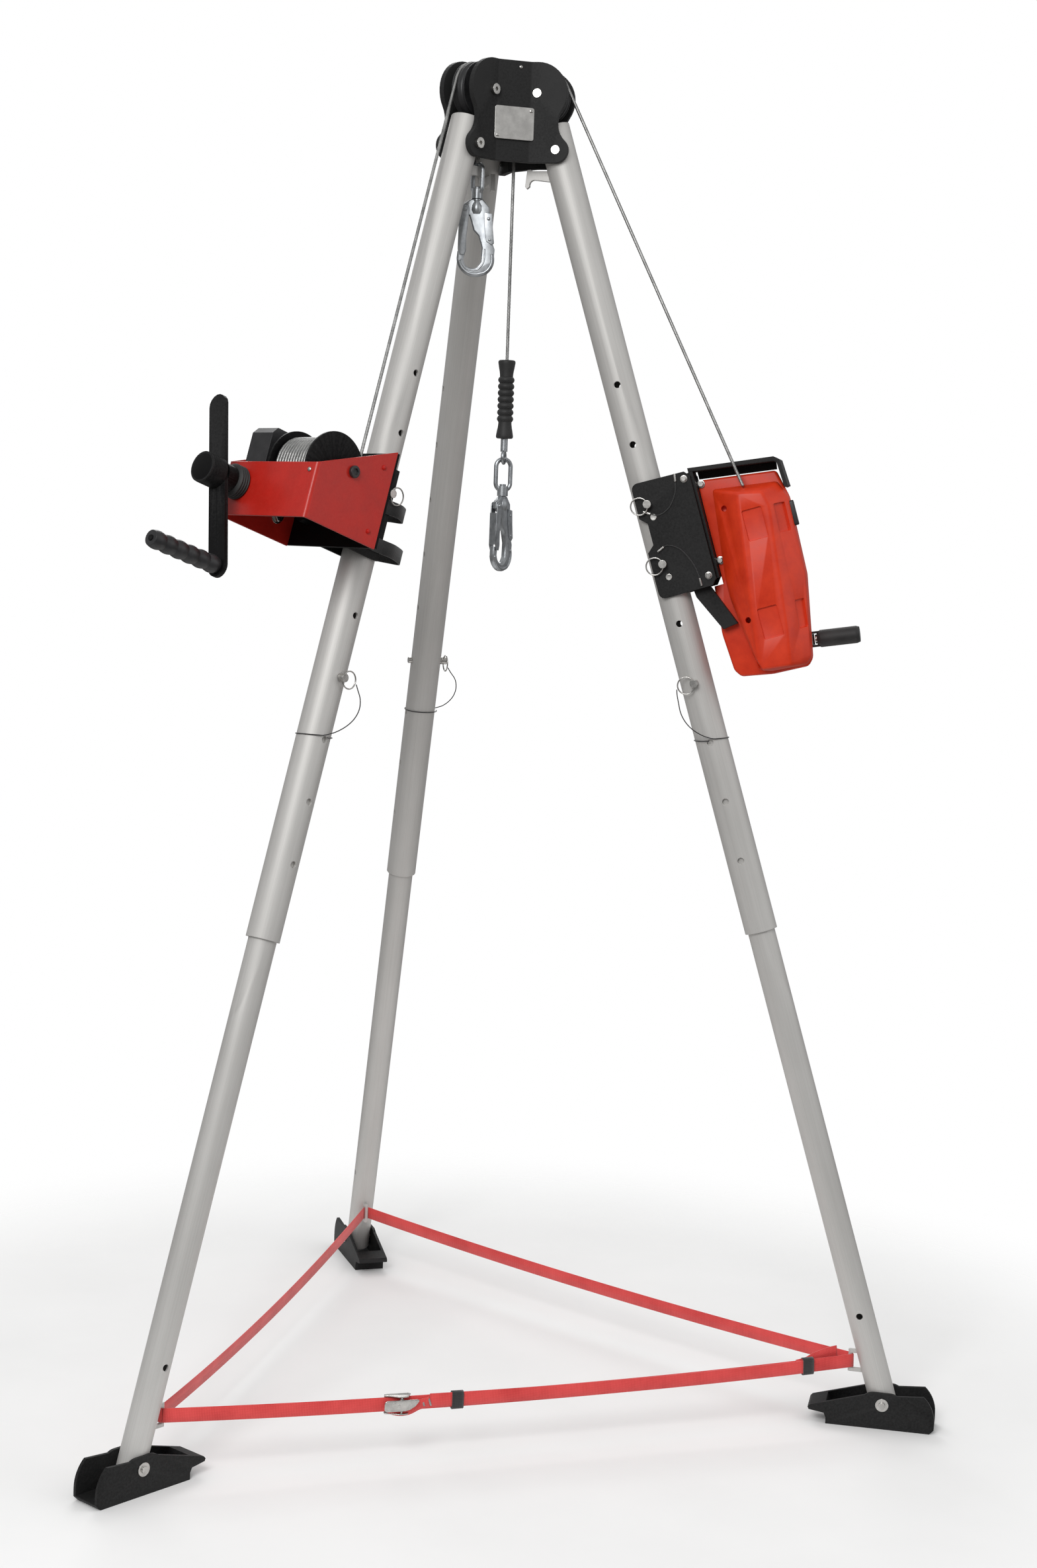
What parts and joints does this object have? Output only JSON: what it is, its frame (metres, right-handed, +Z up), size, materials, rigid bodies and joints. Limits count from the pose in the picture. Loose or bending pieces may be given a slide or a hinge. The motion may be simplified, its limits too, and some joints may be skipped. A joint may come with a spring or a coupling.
{
  "type": "rescue tripod",
  "caption": "Rescue tripod with telescopic legs on a hinged head, a worm-gear hoist winch and a self-retracting fall arrester, cables over head pulleys and webbing between the feet.",
  "frame": {"origin": "on the floor under the middle axis of the head", "axes": "+Z up; +Y towards the rear leg; the winch leg stands at -X -Y and the arrester leg at +X -Y"},
  "size_m": [1.5918, 1.3785, 2.4662],
  "materials": {
    "black_paint": "satin black powder coat",
    "zinc_steel": "bright zinc plate",
    "forged_steel": "plated forging",
    "cable_steel": "galvanised wire strands",
    "tube_aluminium": "satin anodised",
    "black_plastic": "moulded, slight sheen",
    "black_rubber": "matt",
    "black_web": "woven",
    "red_paint": "gloss powder coat",
    "orange_paint": "textured powder coat",
    "red_web": "woven",
    "bronze": "machined"
  },
  "bodies": {
    "head": {"head_plate_front": "black_paint", "head_plate_right": "black_paint", "head_plate_left": "black_paint", "hinge_bolts": "zinc_steel", "pulley_axles": "zinc_steel", "winch_cable": "cable_steel", "arrester_cable": "cable_steel", "arrester_bumper": "black_rubber", "arrester_link": "forged_steel", "foot_strap": "red_web", "cam_buckle": "zinc_steel"},
    "leg_back": {"upper_tube_back": "tube_aluminium", "catch_back": "tube_aluminium", "lanyard_back": "black_web"},
    "lower_leg_back": {"lower_tube_back": "tube_aluminium"},
    "foot_back": {"foot_back": "black_paint", "foot_pin_back": "zinc_steel"},
    "lock_pin_back": {"lock_pin_back": "zinc_steel"},
    "leg_left": {"upper_tube_left": "tube_aluminium", "catch_left": "tube_aluminium", "lanyard_left": "black_web", "winch_bracket": "black_paint", "winch_straps": "black_web", "winch_frame": "red_paint", "gear_cover": "black_plastic", "winch_hook_eye": "forged_steel"},
    "lower_leg_left": {"lower_tube_left": "tube_aluminium"},
    "foot_left": {"foot_left": "black_paint", "foot_pin_left": "zinc_steel"},
    "lock_pin_left": {"lock_pin_left": "zinc_steel"},
    "leg_right": {"upper_tube_right": "tube_aluminium", "catch_right": "tube_aluminium", "lanyard_right": "black_web", "arrester_bracket": "black_paint", "arrester_front_shell": "orange_paint", "arrester_back_shell": "orange_paint", "arrester_guard": "black_paint"},
    "lower_leg_right": {"lower_tube_right": "tube_aluminium"},
    "foot_right": {"foot_right": "black_paint", "foot_pin_right": "zinc_steel"},
    "lock_pin_right": {"lock_pin_right": "zinc_steel"},
    "pulley_left": {"pulley_left": "black_plastic"},
    "pulley_right": {"pulley_right": "black_plastic"},
    "crank": {"worm_shaft": "zinc_steel", "crank_hub": "black_paint", "crank_arm": "black_paint"},
    "drum": {"drum": "black_paint", "drum_cable": "cable_steel", "worm_wheel": "bronze"},
    "crank_grip": {"crank_grip": "black_plastic"},
    "winch_bracket_pin": {"winch_bracket_pin": "zinc_steel"},
    "arrester_crank": {"arrester_crank": "zinc_steel"},
    "arrester_grip": {"arrester_grip": "black_rubber"},
    "bracket_pin_upper": {"bracket_pin_upper": "zinc_steel"},
    "bracket_pin_lower": {"bracket_pin_lower": "zinc_steel"},
    "winch_hook": {"winch_hook": "forged_steel"},
    "winch_hook_gate": {"winch_hook_gate": "forged_steel"},
    "arrester_hook": {"arrester_hook": "forged_steel"},
    "arrester_hook_gate": {"arrester_hook_gate": "forged_steel"},
    "cam_lever": {"cam_lever": "zinc_steel"}
  },
  "joints": [
    {"name": "leg_fold_back", "type": "hinge", "parent": "head", "child": "leg_back", "pos_m": [0, 0.108, 2.31123], "axis": [-1, 0, 0], "range_deg": [0, 14], "deforming": ["foot_strap"]},
    {"name": "leg_slide_back", "type": "slide", "parent": "leg_back", "child": "lower_leg_back", "axis": [0, 0.294, -0.9558], "range_m": [0, 0.24], "deforming": ["foot_strap"]},
    {"name": "foot_tilt_back", "type": "hinge", "parent": "lower_leg_back", "child": "foot_back", "pos_m": [0, 0.80488, 0.046], "axis": [-1, 0, 0], "range_deg": [-20, 20]},
    {"name": "lock_pin_pull_back", "type": "slide", "parent": "leg_back", "child": "lock_pin_back", "axis": [1, 0, 0], "range_m": [0, 0.1], "deforming": ["lanyard_back"]},
    {"name": "leg_fold_left", "type": "hinge", "parent": "head", "child": "leg_left", "pos_m": [-0.09353, -0.054, 2.31123], "axis": [0.5, -0.866, 0], "range_deg": [0, 14], "deforming": ["winch_cable", "foot_strap"]},
    {"name": "leg_slide_left", "type": "slide", "parent": "leg_left", "child": "lower_leg_left", "axis": [-0.2546, -0.147, -0.9558], "range_m": [0, 0.24], "deforming": ["foot_strap"]},
    {"name": "foot_tilt_left", "type": "hinge", "parent": "lower_leg_left", "child": "foot_left", "pos_m": [-0.69704, -0.40244, 0.046], "axis": [0.5, -0.866, 0], "range_deg": [-20, 20]},
    {"name": "lock_pin_pull_left", "type": "slide", "parent": "leg_left", "child": "lock_pin_left", "axis": [0.5, -0.866, 0], "range_m": [0, 0.1], "deforming": ["lanyard_left"]},
    {"name": "leg_fold_right", "type": "hinge", "parent": "head", "child": "leg_right", "pos_m": [0.09353, -0.054, 2.31123], "axis": [0.5, 0.866, 0], "range_deg": [0, 14], "deforming": ["arrester_cable", "foot_strap"]},
    {"name": "leg_slide_right", "type": "slide", "parent": "leg_right", "child": "lower_leg_right", "axis": [0.2546, -0.147, -0.9558], "range_m": [0, 0.24], "deforming": ["foot_strap"]},
    {"name": "foot_tilt_right", "type": "hinge", "parent": "lower_leg_right", "child": "foot_right", "pos_m": [0.69704, -0.40244, 0.046], "axis": [0.5, 0.866, 0], "range_deg": [-20, 20]},
    {"name": "lock_pin_pull_right", "type": "slide", "parent": "leg_right", "child": "lock_pin_right", "axis": [-0.5, -0.866, 0], "range_m": [0, 0.1], "deforming": ["lanyard_right"]},
    {"name": "pulley_spin_left", "type": "hinge", "parent": "head", "child": "pulley_left", "pos_m": [-0.06149, -0.0355, 2.41123], "axis": [0.5, -0.866, 0], "continuous": true},
    {"name": "pulley_spin_right", "type": "hinge", "parent": "head", "child": "pulley_right", "pos_m": [0.06149, -0.0355, 2.41123], "axis": [0.5, 0.866, 0], "continuous": true},
    {"name": "crank_turn", "type": "hinge", "parent": "leg_left", "child": "crank", "pos_m": [-0.51588, -0.21702, 1.68716], "axis": [-0.8277, -0.4779, 0.294], "continuous": true, "deforming": ["winch_cable"]},
    {"name": "drum_turn", "type": "hinge", "parent": "leg_left", "child": "drum", "pos_m": [-0.39977, -0.23081, 1.71275], "axis": [0.5, -0.866, 0], "continuous": true},
    {"name": "crank_grip_spin", "type": "hinge", "parent": "crank", "child": "crank_grip", "pos_m": [-0.5715, -0.31705, 1.54826], "axis": [-0.8277, -0.4779, 0.294], "continuous": true},
    {"name": "winch_pin_pull", "type": "slide", "parent": "leg_left", "child": "winch_bracket_pin", "axis": [0.5, -0.866, 0], "range_m": [0, 0.1]},
    {"name": "arrester_crank_turn", "type": "hinge", "parent": "leg_right", "child": "arrester_crank", "pos_m": [0.49492, -0.21184, 1.43491], "axis": [0.5, 0.866, 0], "continuous": true},
    {"name": "arrester_grip_fold", "type": "hinge", "parent": "arrester_crank", "child": "arrester_grip", "pos_m": [0.55136, -0.24442, 1.44535], "axis": [-0.137, 0.0791, 0.9874], "range_deg": [0, 90]},
    {"name": "bracket_pin_pull_upper", "type": "slide", "parent": "leg_right", "child": "bracket_pin_upper", "axis": [-0.5, -0.866, 0], "range_m": [0, 0.1]},
    {"name": "bracket_pin_pull_lower", "type": "slide", "parent": "leg_right", "child": "bracket_pin_lower", "axis": [-0.5, -0.866, 0], "range_m": [0, 0.1]},
    {"name": "winch_hook_swivel", "type": "hinge", "parent": "leg_left", "child": "winch_hook", "pos_m": [-0.05375, -0.03103, 2.221], "axis": [0, 0, 1], "continuous": true},
    {"name": "winch_hook_gate_swing", "type": "hinge", "parent": "winch_hook", "child": "winch_hook_gate", "pos_m": [-0.07383, -0.02489, 2.20233], "axis": [-0.2924, -0.9563, 0], "range_deg": [0, 12], "stiffness_Nm_per_rad": 0.06, "springref_deg": -17.19},
    {"name": "arrester_hook_swivel", "type": "hinge", "parent": "head", "child": "arrester_hook", "pos_m": [0.02237, -0.00426, 1.6887], "axis": [0, 0, 1], "continuous": true},
    {"name": "arrester_hook_gate_swing", "type": "hinge", "parent": "arrester_hook", "child": "arrester_hook_gate", "pos_m": [0.00701, -0.01858, 1.67003], "axis": [0.682, -0.7314, 0], "range_deg": [0, 12], "stiffness_Nm_per_rad": 0.06, "springref_deg": -17.19},
    {"name": "cam_lever_lift", "type": "hinge", "parent": "head", "child": "cam_lever", "pos_m": [-0.22517, -0.38488, 0.10349], "axis": [0.0157, 0, 0.9999], "range_deg": [0, 60]}
  ],
  "couplings": [
    {"joint": "drum_turn", "follows": "crank_turn", "ratio": 0.045455}
  ]
}
